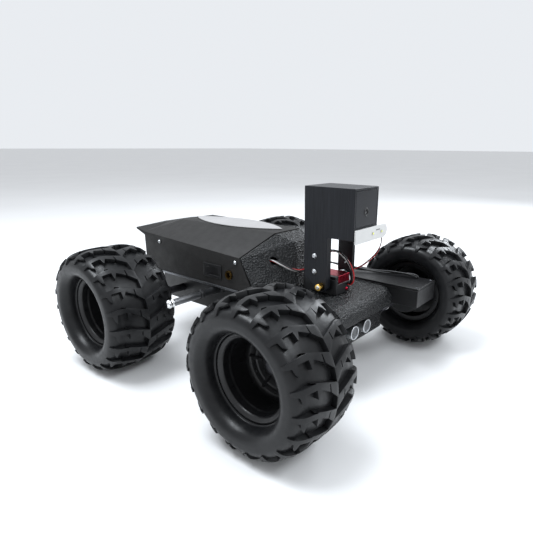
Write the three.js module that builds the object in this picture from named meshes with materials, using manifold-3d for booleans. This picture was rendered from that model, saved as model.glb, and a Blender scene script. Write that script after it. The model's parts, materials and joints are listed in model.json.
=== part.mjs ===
// A four wheel rover chassis: big block-tread wheels on in-wheel gear motors, a covered body
// with a coated front bulkhead and nose, and a tilting camera head.
// Millimetres. +Z is up, the rover faces -Y, its right side is -X.
// The origin is on the ground, midway between the four wheels.

import * as THREE from "three";
import { mergeVertices } from "three/addons/utils/BufferGeometryUtils.js";
import Module from "manifold-3d";

const wasm = await Module();
wasm.setup();

// Driving dimensions
const TYRE_RADIUS = 73;
const TYRE_WIDTH = 84.5;
const WHEELBASE = 252;
const TRACK = 308;
const GAP = 0.3;
const SKIN = 2.5;
const WHEEL_SIDES = 24;
const ROUND_SIDES = 16;

// Wheels and drive, distances along the axle from the rover's middle plane
const FLANGE_RADIUS = 40.5;
const BARREL_RADIUS = 36.8;
const DISH_RADIUS = 34.2;
const FLANGE_X = 25;
const WEB_X = -9;
const WEB_THICKNESS = 3;
const SHAFT_RADIUS = 4;
const MOTOR_RADIUS = 24;
const MOTOR_BACK = 105.8;
const MOTOR_FRONT = 131;
const STUB_RADIUS = 4.8;
const LINK_RADIUS = 6.3;
const LINK_OFFSET = 16;
const LINK_DROP = 11.5;
const ROD_Y = 45;
const ROD_Z = 88;

// Body
const BODY_HALF = 69.5;
const TUB_HALF = 52.4;
const TUB_FLOOR = 55;
const TUB_TOP = 94.3;
const DECK_BOTTOM = 94.6;
const DECK_TOP = 97.1;
const HOOD_BASE = 97.4;
const HOOD_REAR = 181;
const SIDE_TOP_FRONT = 137;
const SIDE_TOP_REAR = 146;
const CROWN = 161;
const CROWN_HALF = 23;
const NOSE_HALF = 55.2;
const NOSE_TOP = 99;
const NOSE_REAR = -30;

// Sonar and side box
const SONAR_X = -8;
const SONAR_SPACING = 26;
const SONAR_Z = 63.5;
const SONAR_RADIUS = 8;
const BOX_X = [56, 105];
const BOX_Y = [-168, -62];
const BOX_Z = [78.6, 102];

// Camera head
const TILT_Y = -88;
const TILT_Z = 109.5;
const HEAD_X = [-25.6, 22.4];
const HEAD_Y = [-128, -64];
const HEAD_TOP = 219;
const HEAD_FLOOR = 176;
const SKIRT_BOTTOM = 165.4;
const LEG_INNER = -16.9;
const LEG_FRONT = -95;
const LENS = [-2, 193.5];
const LIGHT_Z = [162, 177];

const X = new THREE.Vector3(1, 0, 0);
const Y = new THREE.Vector3(0, 1, 0);
const Z = new THREE.Vector3(0, 0, 1);

const FINISHES = {
  tyre: [0x1d1f20, 0.65, 0],
  black_plastic: [0x141517, 0.5, 0],
  black_metal: [0x17191b, 0.45, 0.4],
  texture: [0x101213, 0.35, 0.1],
  hood: [0x2b2c2e, 0.6, 0.1],
  pale: [0xe9ecee, 0.2, 0],
  alloy: [0xb9bcc0, 0.35, 0.9],
  dark_steel: [0x4a4d52, 0.35, 0.8],
  brass: [0xb9923c, 0.3, 0.9],
  red: [0xa02038, 0.35, 0.5],
  board: [0x14301f, 0.5, 0],
  cell: [0x23408c, 0.4, 0],
  glass: [0x0a0c10, 0.05, 0],
  wire: [0x2a1414, 0.5, 0],
};

// Turns a closed geometry into a solid that can be joined and cut.
function solid(geometry) {
  const bare = geometry.index ? geometry.toNonIndexed() : geometry.clone();
  for (const name of Object.keys(bare.attributes)) {
    if (name !== "position") bare.deleteAttribute(name);
  }
  const merged = mergeVertices(bare, 1e-4);
  return new wasm.Manifold(
    new wasm.Mesh({
      numProp: 3,
      vertProperties: merged.attributes.position.array,
      triVerts: new Uint32Array(merged.index.array),
    }),
  );
}

// Turns a joined or cut solid back into a geometry.
function shapeOf(body) {
  const mesh = body.getMesh();
  const geometry = new THREE.BufferGeometry();
  geometry.setAttribute("position", new THREE.BufferAttribute(mesh.vertProperties, 3));
  geometry.setIndex(new THREE.BufferAttribute(mesh.triVerts, 1));
  geometry.computeVertexNormals();
  return geometry;
}

function join(...pieces) {
  return pieces.reduce((all, piece) => all.add(piece));
}

function block([x0, x1], [y0, y1], [z0, z1]) {
  const box = new THREE.BoxGeometry(x1 - x0, y1 - y0, z1 - z0);
  return solid(box.translate((x0 + x1) / 2, (y0 + y1) / 2, (z0 + z1) / 2));
}

function outline(points) {
  return new THREE.Shape(points.map(([a, b]) => new THREE.Vector2(a, b)));
}

function slab(shape, depth) {
  const curveSegments = 6;
  return new THREE.ExtrudeGeometry(shape, { depth, bevelEnabled: false, curveSegments });
}

// Extrudes a shape drawn in Y and Z along X.
function alongX(shape, [x0, x1]) {
  const turn = new THREE.Matrix4().makeBasis(Y, Z, X);
  return solid(slab(shape, x1 - x0).applyMatrix4(turn).translate(x0, 0, 0));
}

// Extrudes a shape drawn in X and Y upwards.
function alongZ(shape, [z0, z1]) {
  return solid(slab(shape, z1 - z0).translate(0, 0, z0));
}

// Revolves a profile of [distance along X, radius] about the X axis.
function turned(profile, sides = ROUND_SIDES) {
  const points = profile.map(([along, radius]) => new THREE.Vector2(radius, along));
  return new THREE.LatheGeometry(points, sides).rotateZ(-Math.PI / 2);
}

// A round bar along X, Y or Z, between two places on that axis.
function bar(axis, radius, [from, to], [a, b], sides = ROUND_SIDES) {
  const profile = [[from, 0], [from, radius], [to, radius], [to, 0]];
  const geometry = turned(profile, sides);
  if (axis === "x") return solid(geometry.translate(0, a, b));
  if (axis === "y") return solid(geometry.rotateZ(Math.PI / 2).translate(a, 0, b));
  return solid(geometry.rotateY(-Math.PI / 2).translate(a, b, 0));
}

// A closed body through rings of equal point counts, capped at both ends.
function loft(rings) {
  const count = rings[0].length;
  const index = [];
  for (let r = 0; r + 1 < rings.length; r++) {
    for (let i = 0; i < count; i++) {
      const a = r * count + i;
      const b = r * count + ((i + 1) % count);
      index.push(a, b, b + count, a, b + count, a + count);
    }
  }
  const last = (rings.length - 1) * count;
  for (let i = 1; i + 1 < count; i++) {
    index.push(0, i + 1, i);
    index.push(last, last + i, last + i + 1);
  }
  return closedBody(rings.flat(), index);
}

// A sheet of triangles given a thickness along one shift.
function thickened(points, triangles, shift) {
  const count = points.length;
  const moved = points.map((p) => p.map((v, i) => v + shift[i]));
  const index = [];
  const open = new Map();
  for (const [a, b, c] of triangles) {
    index.push(a, b, c, a + count, c + count, b + count);
    for (const [p, q] of [[a, b], [b, c], [c, a]]) {
      if (!open.delete(`${q},${p}`)) open.set(`${p},${q}`, [p, q]);
    }
  }
  for (const [p, q] of open.values()) {
    index.push(p, p + count, q + count, p, q + count, q);
  }
  return closedBody([...points, ...moved], index);
}

// Makes a solid of points and triangles, with its faces turned outwards.
function closedBody(points, index) {
  let volume = 0;
  for (let i = 0; i < index.length; i += 3) {
    const [a, b, c] = index.slice(i, i + 3).map((k) => new THREE.Vector3(...points[k]));
    volume += a.dot(b.cross(c));
  }
  if (volume < 0) index.reverse();
  const geometry = new THREE.BufferGeometry();
  geometry.setAttribute("position", new THREE.Float32BufferAttribute(points.flat(), 3));
  geometry.setIndex(index);
  return solid(geometry);
}

// A tube along a smooth curve through points.
function cord(points, radius, steps) {
  const path = new THREE.CatmullRomCurve3(points.map((p) => new THREE.Vector3(...p)));
  const section = new THREE.Shape();
  section.absarc(0, 0, radius, 0, Math.PI * 2);
  const options = { steps, curveSegments: 4, bevelEnabled: false, extrudePath: path };
  return new THREE.ExtrudeGeometry(section, options);
}

const rover = new THREE.Group();

function add(name, shape, finish, parent = rover) {
  const [color, roughness, metalness] = FINISHES[finish];
  const material = new THREE.MeshStandardMaterial({ color, roughness, metalness });
  const geometry = shape.isBufferGeometry ? shape : shapeOf(shape);
  const mesh = new THREE.Mesh(geometry, material);
  mesh.name = name;
  parent.add(mesh);
}

// Wheels. Profiles are drawn with +X pointing outboard from the tyre's middle.

// The tyre with the foam ring that fills it.
function tyreShape() {
  const half = TYRE_WIDTH / 2;
  const shoulder = 51.7;
  const power = 2 / 3.25;
  const crown = TYRE_RADIUS / Math.cos(Math.PI / WHEEL_SIDES);
  const steps = 8;
  const outside = [];
  for (let i = 0; i <= steps; i++) {
    const angle = (Math.PI * i) / steps;
    const across = Math.sign(Math.cos(angle)) * Math.abs(Math.cos(angle)) ** power;
    const rise = Math.max(0, Math.sin(angle)) ** power;
    outside.push([-half * across, shoulder + (crown - shoulder) * rise]);
  }
  const right = [[38.5, 46], [30, 42], [21.6, 41], [21.6, 37.2]];
  const left = right.map(([x, r]) => [-x, r]).reverse();
  const profile = [...left, ...outside, ...right, left[0]];
  return turned(profile, WHEEL_SIDES).rotateX(Math.PI / WHEEL_SIDES);
}

function rimShape() {
  const bore = SHAFT_RADIUS + GAP;
  const inner = -FLANGE_X - 2;
  const web = WEB_X - WEB_THICKNESS;
  const profile = [
    [inner, DISH_RADIUS],
    [inner, FLANGE_RADIUS],
    [inner + 3, FLANGE_RADIUS],
    [inner + 3, BARREL_RADIUS],
    [FLANGE_X - 3, BARREL_RADIUS],
    [FLANGE_X - 3, FLANGE_RADIUS],
    [FLANGE_X, FLANGE_RADIUS],
    [FLANGE_X, DISH_RADIUS],
    [WEB_X, DISH_RADIUS],
    [WEB_X, bore],
    [web, bore],
    [web, DISH_RADIUS],
    [inner, DISH_RADIUS],
  ];
  return turned(profile, WHEEL_SIDES).rotateX(Math.PI / WHEEL_SIDES);
}

// The output shaft with its hexagonal hub, from inside the motor to past the web.
function axleShape() {
  const motorEnd = MOTOR_FRONT + 3 + GAP - TRACK / 2;
  const web = WEB_X - WEB_THICKNESS;
  const hub = solid(turned([[motorEnd, 0], [motorEnd, 9.8], [web - GAP, 9.8], [web - GAP, 0]], 6));
  const shaft = bar("x", SHAFT_RADIUS, [web - 2, WEB_X], [0, 0]);
  const stem = bar("x", 3, [motorEnd - 14, motorEnd + 1], [0, 0]);
  return join(hub, shaft, stem);
}

function nutShape() {
  const start = WEB_X + GAP;
  const profile = [[start, 0], [start, 9], [start + 6, 9], [start + 8, 5], [start + 8, 0]];
  return turned(profile, 6);
}

function motorShape() {
  const front = MOTOR_FRONT + 3;
  const can = solid(
    turned(
      [
        [MOTOR_BACK, 0],
        [MOTOR_BACK, MOTOR_RADIUS - 1.5],
        [MOTOR_BACK + 1.5, MOTOR_RADIUS],
        [MOTOR_FRONT, MOTOR_RADIUS],
        [MOTOR_FRONT, 10],
        [front, 10],
        [front, 0],
      ],
      20,
    ),
  );
  return can.subtract(bar("x", 3 + GAP, [front - 15, front + 1], [0, 0]));
}

function stubShape(wall) {
  return bar("x", STUB_RADIUS, [wall - SKIN - 8, MOTOR_BACK - 0.4], [0, 0]);
}

// The side rod: a thick root, a thinner bar and a ball tip, in front of a rear wheel.
function rodShape() {
  const start = TUB_HALF + 0.4;
  const tip = 138;
  return turned([
    [start, 0],
    [start, 5.6],
    [90, 5.6],
    [90, 4.2],
    [tip - 10, 4.2],
    [tip - 9, 5.2],
    [tip - 4, 5.2],
    [tip, 3],
    [tip, 0],
  ]);
}

// The torque link: a tube with a thicker end and a stud that meets the motor's back.
function linkShape() {
  const start = NOSE_HALF + 0.4;
  const ball = 90;
  const profile = [
    [start, 0],
    [start, LINK_RADIUS - 1],
    [start + 3, LINK_RADIUS],
    [ball - 3, LINK_RADIUS],
    [ball - 2, LINK_RADIUS + 0.9],
    [ball + 4, LINK_RADIUS + 0.9],
    [ball + 8, 4.5],
    [ball + 8, 2.5],
    [MOTOR_BACK - 0.4, 2.5],
    [MOTOR_BACK - 0.4, 0],
  ];
  return turned(profile);
}

function addCorner(name, side, end) {
  const wall = end < 0 ? NOSE_HALF : TUB_HALF;
  const corner = new THREE.Group();
  corner.position.set(0, (end * WHEELBASE) / 2, TYRE_RADIUS);
  corner.rotation.z = side < 0 ? Math.PI : 0;
  rover.add(corner);
  add(`hub_motor_${name}`, motorShape(), "black_metal", corner);
  add(`axle_stub_${name}`, stubShape(wall), "dark_steel", corner);
  const wheel = new THREE.Group();
  wheel.position.x = TRACK / 2;
  corner.add(wheel);
  add(`tyre_${name}`, tyreShape(), "tyre", wheel);
  add(`rim_${name}`, rimShape(), "black_plastic", wheel);
  add(`axle_${name}`, axleShape(), "dark_steel", wheel);
  add(`wheel_nut_${name}`, nutShape(), "dark_steel", wheel);
  const link = new THREE.Group();
  link.rotation.z = side < 0 ? Math.PI : 0;
  rover.add(link);
  if (end < 0) {
    link.position.set(0, LINK_OFFSET - WHEELBASE / 2, TYRE_RADIUS - LINK_DROP);
    add(`torque_link_${name}`, linkShape(), "dark_steel", link);
  } else {
    link.position.set(0, ROD_Y, ROD_Z);
    add(`side_rod_${side < 0 ? "right" : "left"}`, rodShape(), "dark_steel", link);
  }
}

// Body

function tubShape() {
  const y = [-108, 168];
  const tray = block([-TUB_HALF, TUB_HALF], y, [TUB_FLOOR, TUB_TOP]);
  const inside = TUB_HALF - SKIN;
  const hollow = block([-inside, inside], [y[0] + SKIN, y[1] - SKIN], [TUB_FLOOR + SKIN, TUB_TOP + 1]);
  const axleHole = bar("x", STUB_RADIUS + GAP, [-60, 60], [WHEELBASE / 2, TYRE_RADIUS]);
  return tray.subtract(hollow).subtract(axleHole);
}

function deckShape() {
  const half = BODY_HALF + 0.7;
  const sheet = block([-half, half], [-26, HOOD_REAR - 2], [DECK_BOTTOM, DECK_TOP]);
  const cableHole = block([-15, 15], [80, 110], [DECK_BOTTOM - 1, DECK_TOP + 1]);
  return sheet.subtract(cableHole);
}

function sideTop(y) {
  const slope = (SIDE_TOP_REAR - SIDE_TOP_FRONT) / (HOOD_REAR + 4);
  return SIDE_TOP_FRONT + (y + 4) * slope;
}

// One ring of the hood: base, side top and crown, mirrored across the middle.
function hoodRing([baseY, sideY, crownY], crownHalf, crownZ, inset, base) {
  const half = BODY_HALF - inset;
  const right = [
    [half, baseY, base],
    [half, sideY, sideTop(sideY) - inset],
    [crownHalf - inset / 2, crownY, crownZ - inset],
  ];
  const left = right.map(([x, y, z]) => [-x, y, z]).reverse();
  return [...right, ...left];
}

function hoodShape() {
  const shell = loft([
    hoodRing([-26, -4, -18], CROWN_HALF, CROWN, 0, HOOD_BASE),
    hoodRing([150, 150, 150], 27, CROWN, 0, HOOD_BASE),
    hoodRing([HOOD_REAR, HOOD_REAR, HOOD_REAR], 24, 155.5, 0, HOOD_BASE),
  ]);
  const rear = HOOD_REAR - SKIN;
  const hollow = loft([
    hoodRing([-90, -90, -90], CROWN_HALF, CROWN, SKIN, HOOD_BASE - 5),
    hoodRing([150, 150, 150], 27, CROWN, SKIN, HOOD_BASE - 5),
    hoodRing([rear, rear, rear], 24, 155.8, SKIN, HOOD_BASE - 5),
  ]);
  const tailRing = (y, half, side, crown, thick) => [
    [half, y, side - thick],
    [half, y, side],
    [24, y, crown],
    [-24, y, crown],
    [-half, y, side],
    [-half, y, side - thick],
    [-24, y, crown - thick],
    [24, y, crown - thick],
  ];
  const tail = loft([
    tailRing(rear + 0.5, BODY_HALF, SIDE_TOP_REAR, 155.5, 5),
    tailRing(197, BODY_HALF + 1.5, 150.5, 153.5, 2),
  ]);
  const switchHole = block([-80, -60], [27.5, 56.5], [107.5, 121.5]);
  const socketHole = bar("x", 4.2 + GAP, [-80, -60], [12.8, 114.2]);
  return join(shell.subtract(hollow), tail).subtract(switchHole).subtract(socketHole);
}

// The pale blank panel: two arcs that meet in a point at each end.
function panelShape() {
  const rear = 152;
  const front = -10;
  const half = 26;
  const length = rear - front;
  const radius = (length * length) / (8 * half) + half / 2;
  const reach = Math.asin(length / 2 / radius);
  const middle = (rear + front) / 2;
  const leaf = new THREE.Shape();
  leaf.absarc(half - radius, middle, radius, -reach, reach);
  leaf.absarc(radius - half, middle, radius, Math.PI - reach, Math.PI + reach);
  const z = CROWN + GAP;
  return alongZ(leaf, [z, z + 1]);
}

// The coated front wall under the hood's front edge, leaning forward to the nose deck.
function bulkheadShape() {
  const back = -0.5;
  const right = [
    [BODY_HALF, -4 + back, SIDE_TOP_FRONT],
    [CROWN_HALF, -18 + back, CROWN],
    [13, -38.5, 152],
    [BODY_HALF, -26 + back, NOSE_TOP + GAP],
    [24, -53, NOSE_TOP + GAP],
  ];
  const left = right.map(([x, y, z]) => [-x, y, z]);
  const faces = [
    [0, 1, 2], [1, 6, 7], [1, 7, 2], [6, 5, 7],
    [0, 2, 4], [0, 4, 3], [2, 7, 9], [2, 9, 4], [5, 9, 7], [5, 8, 9],
  ];
  const wall = thickened([...right, ...left], faces, [0, -SKIN, 0]);
  const servoHole = bar("y", 4, [-60, 0], [-39, 132.3]);
  const flatHole = bar("y", 3, [-60, 0], [60, 113.4]);
  return wall.subtract(servoHole).subtract(flatHole);
}

function noseOutline(inset) {
  const shape = new THREE.Shape();
  const top = NOSE_TOP - inset;
  const roll = 16 - inset;
  shape.moveTo(inset ? -20 : NOSE_REAR, top);
  shape.lineTo(-121, top);
  shape.absarc(-121, top - roll, roll, Math.PI / 2, Math.PI, false);
  shape.lineTo(-135 + inset, 76 + inset / 2);
  shape.lineTo(-129 + inset / 2, 72.4 + inset);
  shape.lineTo(-123 + inset, 72 + inset);
  shape.lineTo(-123 + inset, 46);
  shape.lineTo(-114 + inset, 38 - inset * 2);
  if (inset) {
    shape.lineTo(-20, 33);
  } else {
    shape.lineTo(-104, 38);
    shape.lineTo(-60, 60);
    shape.lineTo(NOSE_REAR, 92);
  }
  return shape;
}

function noseShape() {
  const half = NOSE_HALF - SKIN;
  const shell = alongX(noseOutline(0), [-NOSE_HALF, NOSE_HALF]);
  const hollow = alongX(noseOutline(SKIN), [-half, half]);
  const axleHole = bar("x", STUB_RADIUS + GAP, [-70, 70], [-WHEELBASE / 2, TYRE_RADIUS]);
  let nose = shell.subtract(hollow).subtract(axleHole);
  for (const side of [-1, 1]) {
    const x = SONAR_X + (side * SONAR_SPACING) / 2;
    nose = nose.subtract(bar("y", SONAR_RADIUS + GAP, [-150, -110], [x, SONAR_Z]));
  }
  return nose;
}

function addBody() {
  add("chassis_tub", tubShape(), "black_metal");
  add("deck_plate", deckShape(), "alloy");
  add("hood", hoodShape(), "hood");
  add("hood_panel", panelShape(), "pale");
  add("front_bulkhead", bulkheadShape(), "texture");
  add("nose_cover", noseShape(), "texture");
}

// Power switch and charging socket in the hood's right side

function addControls() {
  const face = -BODY_HALF;
  const bezel = block([face - 1.6, face - GAP], [26, 58], [106, 123]);
  const collar = block([face - 1, face + 10], [28, 56], [108, 121]);
  const well = block([face - 3, face + 8], [30, 54], [109.5, 119.5]);
  add("switch_frame", join(bezel, collar).subtract(well), "black_plastic");
  const rocker = outline([
    [face + 5, 31.5],
    [face + 5, 52.5],
    [face - 2.5, 52.5],
    [face, 42],
    [face, 31.5],
  ]);
  add("switch_rocker", alongZ(rocker, [110, 119]), "black_plastic");
  const centre = [12.8, 114.2];
  const flange = bar("x", 5.5, [face - 2.5, face - GAP], centre);
  const barrel = bar("x", 4.2, [face - 1, face + 12], centre);
  const mouth = bar("x", 3.1, [face - 4, face + 8], centre);
  add("charge_socket", join(flange, barrel).subtract(mouth), "brass");
}

// Battery and boards inside the tub

function addElectronics() {
  add("battery", block([-32, 32], [-60, 60], [TUB_FLOOR + SKIN + GAP, 90]), "cell");
  add("controller_board", block([-45, 40], [10, 70], [104, 106]), "board");
  add("motor_driver", block([-40, 40], [-100, -66], [66, 84]), "board");
}

function addSonar() {
  const front = -132.5;
  const back = -118.8;
  const reach = SONAR_SPACING / 2;
  const board = block([SONAR_X - 23, SONAR_X + 23], [back + GAP, back + GAP + 1.6], [SONAR_Z - 10, SONAR_Z + 10]);
  add("sonar_board", board, "board");
  for (const [name, side] of [["right", -1], ["left", 1]]) {
    const eye = bar("y", SONAR_RADIUS, [front, back], [SONAR_X + side * reach, SONAR_Z]);
    const cup = bar("y", SONAR_RADIUS - 1.2, [front - 1, front + 1.5], [SONAR_X + side * reach, SONAR_Z]);
    add(`sonar_eye_${name}`, eye.subtract(cup), "alloy");
  }
}

function addSideBox() {
  const wall = 2;
  const [x0, x1] = BOX_X;
  const [y0, y1] = BOX_Y;
  const [z0, z1] = BOX_Z;
  const lid = z1 - 2.4;
  const body = block(BOX_X, BOX_Y, [z0, lid - GAP]);
  const hollow = block([x0 + wall, x1 - wall], [y0 + wall, y1 - wall], [z0 + wall, z1]);
  add("side_box", body.subtract(hollow), "black_plastic");
  add("side_box_lid", block(BOX_X, BOX_Y, [lid, z1]), "black_plastic");
}

// Camera head, tilting about a shaft along X

// The lower end of a leg: straight sides that end in a round about the tilt axis.
function legOutline(front, rear, top, radius) {
  const shape = new THREE.Shape();
  shape.moveTo(front, top);
  shape.lineTo(front, TILT_Z);
  shape.absarc(TILT_Y, TILT_Z, radius, Math.PI, Math.PI * 1.75, false);
  shape.lineTo(rear, TILT_Z + 10);
  shape.lineTo(rear, top);
  return shape;
}

function housingShape() {
  const [x0, x1] = HEAD_X;
  const [y0, y1] = HEAD_Y;
  const box = block(HEAD_X, HEAD_Y, [HEAD_FLOOR, HEAD_TOP]);
  const inside = [HEAD_FLOOR + SKIN, HEAD_TOP - SKIN];
  const hollow = block([x0 + SKIN, x1 - SKIN], [y0 - 1, y1 - SKIN], inside);
  const leg = alongX(legOutline(LEG_FRONT, y1, HEAD_FLOOR + 1, TILT_Y - LEG_FRONT), [x0, LEG_INNER]);
  const skirt = block([x0, x0 + SKIN], [y0, y1], [SKIRT_BOTTOM, HEAD_FLOOR + 1]);
  const bush = bar("x", 4 + GAP, [x0 - 1, LEG_INNER + 1], [TILT_Y, TILT_Z]);
  return join(box.subtract(hollow), leg, skirt).subtract(bush);
}

function addHead() {
  const [x0, x1] = HEAD_X;
  const front = HEAD_Y[0];
  const [lensX, lensZ] = LENS;
  add("head_housing", housingShape(), "black_metal");
  const inner = [x0 + SKIN + GAP, x1 - SKIN - GAP];
  const cover = block(inner, [front, front + 2], [HEAD_FLOOR + SKIN + GAP, HEAD_TOP - SKIN - GAP]);
  add("head_front", cover.subtract(bar("y", 4, [front - 1, front + 3], [lensX, lensZ])), "black_plastic");
  add("camera_lens", bar("y", 3.6, [front - 0.5, front + 10], [lensX, lensZ]), "glass");
  const board = block([lensX - 17, lensX + 17], [front + 10.4, front + 12], [lensZ - 12, lensZ + 12]);
  add("camera_board", board, "board");
  const armX = [x1 + GAP, x1 + 5.3];
  const arm = alongX(legOutline(TILT_Y - 10, TILT_Y + 10, 205, 10), armX);
  const cable = bar("x", 1.8, [armX[0] - 1, armX[1] + 1], [TILT_Y, 129]);
  add("tilt_arm", arm.subtract(cable), "black_metal");
  const light = new THREE.Shape();
  const high = LIGHT_Z[1];
  const low = LIGHT_Z[0];
  const round = (high - low) / 2;
  light.moveTo(-25, low);
  light.lineTo(35, low);
  light.absarc(35, low + round, round, -Math.PI / 2, Math.PI / 2, false);
  light.lineTo(-25, high);
  const turn = new THREE.Matrix4().makeBasis(X, Z, Y.clone().negate());
  const sheet = slab(light, 1.6).applyMatrix4(turn).translate(0, front - 0.7, 0);
  add("light_board", sheet, "pale");
}

function addServo() {
  const y = [-100, -60];
  const z = [NOSE_TOP + 0.6, TILT_Z + 10];
  add("servo_cap", block([-14.1, -8], y, z), "black_plastic");
  const boss = bar("x", 4.5, [14, 18.3], [TILT_Y, TILT_Z]);
  add("servo_case", join(block([-7.7, 14.4], y, z), boss), "red");
  add("servo_horn", shapeOf(bar("x", 10, [18.6, HEAD_X[1]], [TILT_Y, TILT_Z])), "alloy");
  const near = [-16.6, -14.4];
  const wallY = [y[0] - 3, y[1] + 3];
  const side = block(near, wallY, [NOSE_TOP + GAP, TILT_Z + 7]);
  const front = block([near[0], 10], [wallY[0], y[0] - GAP], [NOSE_TOP + GAP, TILT_Z + 2]);
  const rear = block([near[0], 10], [y[1] + GAP, wallY[1]], [NOSE_TOP + GAP, TILT_Z + 2]);
  add("servo_frame", join(side, front, rear), "black_metal");
  const bush = bar("x", 4, [HEAD_X[0] - 6, near[0] - GAP], [TILT_Y, TILT_Z]);
  add("pivot_bush", bush, "brass");
}

// Cords that the rover holds at both ends

function addCords() {
  const servoLead = [
    [-39, -16, 132], [-39, -28, 132.3], [-36, -39, 129], [-28, -48.5, 123], [-18, -53.6, 120.2],
    [-9, -58, 122.7], [-5, -65, 133], [-2, -78, 144], [1, -92, 145], [4, -104, 135],
    [6, -109.5, 122], [6, -110, 113], [6, -107.5, 109], [6, -103.5, 108.4],
  ];
  add("servo_lead", cord(servoLead, 1.9, 40), "wire");
  const flatLead = [
    [58, -12, 114], [60, -25, 113.4], [64, -40, 112], [73, -57, 108.5], [82, -76, 105.2],
    [88, -98, 105], [92, -120, 106.2], [95, -138, 106.8], [95.5, -145.5, 106],
    [95.5, -148.5, 104.4], [95.5, -148.7, 102.5],
  ];
  add("flat_lead", cord(flatLead, 2.2, 36), "wire");
  const lightLead = [
    [32, -129.5, 161.6], [32, -129, 154], [32, -124, 143], [32, -115, 133],
    [32, -105, 124.5], [31.8, -96.5, 120], [28.3, -95.6, 119.6],
  ];
  add("light_lead", cord(lightLead, 1.1, 24), "wire");
}

addCorner("front_right", -1, -1);
addCorner("front_left", 1, -1);
addCorner("rear_right", -1, 1);
addCorner("rear_left", 1, 1);
addBody();
addControls();
addElectronics();
addSonar();
addSideBox();
addHead();
addServo();
addCords();

export default rover;
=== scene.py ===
"""Looks for a four wheel rover chassis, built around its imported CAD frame. Lengths are in metres."""

import json
import math

import bmesh
import bpy
from mathutils import Matrix, Vector, noise


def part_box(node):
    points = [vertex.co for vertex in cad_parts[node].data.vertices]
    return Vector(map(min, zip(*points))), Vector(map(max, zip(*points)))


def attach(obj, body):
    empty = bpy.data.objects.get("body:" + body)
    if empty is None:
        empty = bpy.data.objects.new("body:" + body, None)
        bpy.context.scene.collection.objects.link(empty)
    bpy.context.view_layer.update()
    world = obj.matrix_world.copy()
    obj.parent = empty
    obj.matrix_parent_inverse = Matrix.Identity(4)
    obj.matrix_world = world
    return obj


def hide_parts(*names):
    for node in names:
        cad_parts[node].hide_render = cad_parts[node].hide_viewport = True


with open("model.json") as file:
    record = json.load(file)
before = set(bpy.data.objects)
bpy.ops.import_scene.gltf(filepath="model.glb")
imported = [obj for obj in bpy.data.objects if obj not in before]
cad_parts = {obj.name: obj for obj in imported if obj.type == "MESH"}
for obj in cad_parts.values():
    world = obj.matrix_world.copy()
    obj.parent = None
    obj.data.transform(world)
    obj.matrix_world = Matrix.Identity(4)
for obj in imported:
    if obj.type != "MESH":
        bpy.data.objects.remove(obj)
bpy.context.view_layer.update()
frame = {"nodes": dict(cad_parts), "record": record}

MM = 0.001
CORNERS = {
    "front_right": (-1, -1),
    "front_left": (1, -1),
    "rear_right": (-1, 1),
    "rear_left": (1, 1),
}
SHARP = math.radians(32)


# ---------------------------------------------------------------- places read from the frame

def middle(node):
    low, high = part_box(node)
    return (low + high) / 2


def extent(node):
    low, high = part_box(node)
    return high - low


TYRE_SIZE = extent("tyre_front_right")
TYRE_HALF = TYRE_SIZE.x / 2
TYRE_RADIUS = TYRE_SIZE.z / 2
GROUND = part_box("tyre_front_right")[0].z


# ---------------------------------------------------------------- camera

CAMERA_PLACE = (-0.4147, -0.3668, 0.2598)
CAMERA_TURN = math.radians(-51.66)
CAMERA_RISE = math.radians(17.26)
CAMERA_ROLL = math.radians(0.36)
CAMERA_LENS = 30.245
CAMERA_SHIFT = (-0.0638, 0.0345)


def make_camera():
    data = bpy.data.cameras.new("camera")
    camera = bpy.data.objects.new("camera", data)
    bpy.context.scene.collection.objects.link(camera)
    bpy.context.scene.camera = camera
    data.sensor_width = 36
    data.lens = CAMERA_LENS
    data.shift_x, data.shift_y = CAMERA_SHIFT
    data.clip_start = 0.01
    camera.matrix_world = (
        Matrix.Translation(CAMERA_PLACE)
        @ Matrix.Rotation(CAMERA_TURN, 4, "Z")
        @ Matrix.Rotation(math.pi / 2 - CAMERA_RISE, 4, "X")
        @ Matrix.Rotation(CAMERA_ROLL, 4, "Z")
    )


make_camera()


# ---------------------------------------------------------------- materials

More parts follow.
